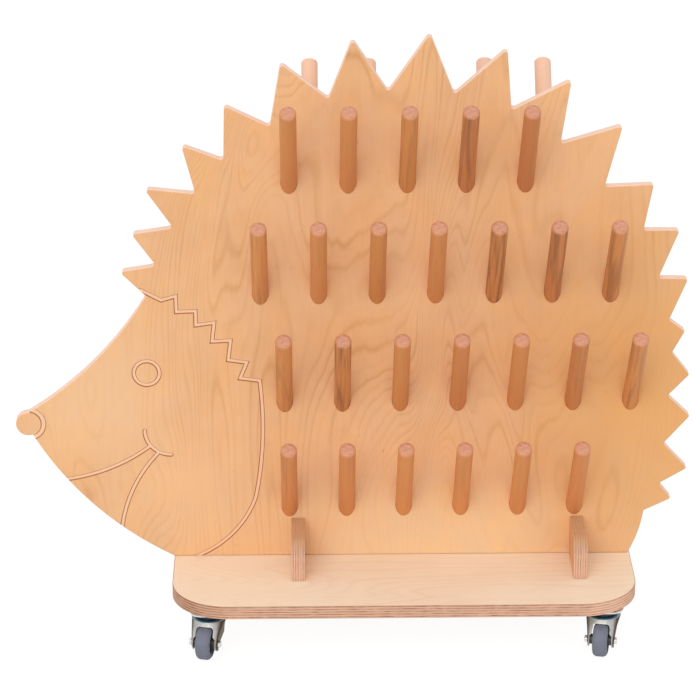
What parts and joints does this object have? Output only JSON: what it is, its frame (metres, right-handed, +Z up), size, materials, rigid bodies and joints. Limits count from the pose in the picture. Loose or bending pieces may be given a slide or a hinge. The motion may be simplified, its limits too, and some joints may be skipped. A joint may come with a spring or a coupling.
{
  "type": "rolling shoe rack",
  "caption": "Hedgehog-shaped plywood panel on a rounded base board with swivel casters and slanting round pegs on both faces that hold boots upside down.",
  "frame": {"origin": "on the floor, below the middle of the rack as a whole", "axes": "+Z up, +X along the panel from the nose to the tail, -Y out of the engraved front"},
  "size_m": [0.995, 0.3733, 0.8971],
  "materials": {
    "birch_panel": "oiled birch veneer, honey coloured, satin",
    "birch_board": "pale lacquered birch veneer, satin",
    "birch_edge": "birch plywood with its plies showing on the edges",
    "beech_peg": "oiled reddish beech dowel, satin",
    "zinc_steel": "bright zinc plating",
    "race_steel": "bluish passivated steel",
    "wheel_core": "grey moulded plastic",
    "tyre_rubber": "grey rubber, matt"
  },
  "bodies": {
    "rack": {"hedgehog_panel": "birch_panel", "base_board": "birch_board", "front_left_bracket": "birch_edge", "front_right_bracket": "birch_edge", "rear_left_bracket": "birch_edge", "rear_right_bracket": "birch_edge", "front_peg_row1_1": "beech_peg", "front_peg_row1_2": "beech_peg", "front_peg_row1_3": "beech_peg", "front_peg_row1_4": "beech_peg", "front_peg_row1_5": "beech_peg", "front_peg_row2_1": "beech_peg", "front_peg_row2_2": "beech_peg", "front_peg_row2_3": "beech_peg", "front_peg_row2_4": "beech_peg", "front_peg_row2_5": "beech_peg", "front_peg_row2_6": "beech_peg", "front_peg_row2_7": "beech_peg", "front_peg_row3_1": "beech_peg", "front_peg_row3_2": "beech_peg", "front_peg_row3_3": "beech_peg", "front_peg_row3_4": "beech_peg", "front_peg_row3_5": "beech_peg", "front_peg_row3_6": "beech_peg", "front_peg_row3_7": "beech_peg", "front_peg_row4_1": "beech_peg", "front_peg_row4_2": "beech_peg", "front_peg_row4_3": "beech_peg", "front_peg_row4_4": "beech_peg", "front_peg_row4_5": "beech_peg", "front_peg_row4_6": "beech_peg", "rear_peg_row1_1": "beech_peg", "rear_peg_row1_2": "beech_peg", "rear_peg_row1_3": "beech_peg", "rear_peg_row1_4": "beech_peg", "rear_peg_row1_5": "beech_peg", "front_left_caster_mounting_plate": "zinc_steel", "front_left_caster_ball_race": "race_steel", "front_right_caster_mounting_plate": "zinc_steel", "front_right_caster_ball_race": "race_steel", "rear_left_caster_mounting_plate": "zinc_steel", "rear_left_caster_ball_race": "race_steel", "rear_right_caster_mounting_plate": "zinc_steel", "rear_right_caster_ball_race": "race_steel"},
    "front_left_swivel": {"front_left_caster_fork": "zinc_steel", "front_left_caster_axle_bolt": "zinc_steel"},
    "front_left_wheel": {"front_left_caster_wheel_core": "wheel_core", "front_left_caster_tyre": "tyre_rubber"},
    "front_right_swivel": {"front_right_caster_fork": "zinc_steel", "front_right_caster_axle_bolt": "zinc_steel"},
    "front_right_wheel": {"front_right_caster_wheel_core": "wheel_core", "front_right_caster_tyre": "tyre_rubber"},
    "rear_left_swivel": {"rear_left_caster_fork": "zinc_steel", "rear_left_caster_axle_bolt": "zinc_steel"},
    "rear_left_wheel": {"rear_left_caster_wheel_core": "wheel_core", "rear_left_caster_tyre": "tyre_rubber"},
    "rear_right_swivel": {"rear_right_caster_fork": "zinc_steel", "rear_right_caster_axle_bolt": "zinc_steel"},
    "rear_right_wheel": {"rear_right_caster_wheel_core": "wheel_core", "rear_right_caster_tyre": "tyre_rubber"}
  },
  "joints": [
    {"name": "front_left_swivel_turn", "type": "hinge", "parent": "rack", "child": "front_left_swivel", "pos_m": [-0.2135, -0.1415, 0.07], "axis": [0, 0, 1], "continuous": true},
    {"name": "front_left_wheel_spin", "type": "hinge", "parent": "front_left_swivel", "child": "front_left_wheel", "pos_m": [-0.21912, -0.16586, 0.025], "axis": [0.9744, -0.225, 0], "continuous": true},
    {"name": "front_right_swivel_turn", "type": "hinge", "parent": "rack", "child": "front_right_swivel", "pos_m": [0.3655, -0.1415, 0.07], "axis": [0, 0, 1], "continuous": true},
    {"name": "front_right_wheel_spin", "type": "hinge", "parent": "front_right_swivel", "child": "front_right_wheel", "pos_m": [0.36052, -0.166, 0.025], "axis": [0.9799, -0.1994, 0], "continuous": true},
    {"name": "rear_left_swivel_turn", "type": "hinge", "parent": "rack", "child": "rear_left_swivel", "pos_m": [-0.2135, 0.1415, 0.07], "axis": [0, 0, 1], "continuous": true},
    {"name": "rear_left_wheel_spin", "type": "hinge", "parent": "rear_left_swivel", "child": "rear_left_wheel", "pos_m": [-0.21827, 0.11696, 0.025], "axis": [0.9816, -0.1908, 0], "continuous": true},
    {"name": "rear_right_swivel_turn", "type": "hinge", "parent": "rack", "child": "rear_right_swivel", "pos_m": [0.3655, 0.1415, 0.07], "axis": [0, 0, 1], "continuous": true},
    {"name": "rear_right_wheel_spin", "type": "hinge", "parent": "rear_right_swivel", "child": "rear_right_wheel", "pos_m": [0.3603, 0.11705, 0.025], "axis": [0.9781, -0.2079, 0], "continuous": true}
  ]
}
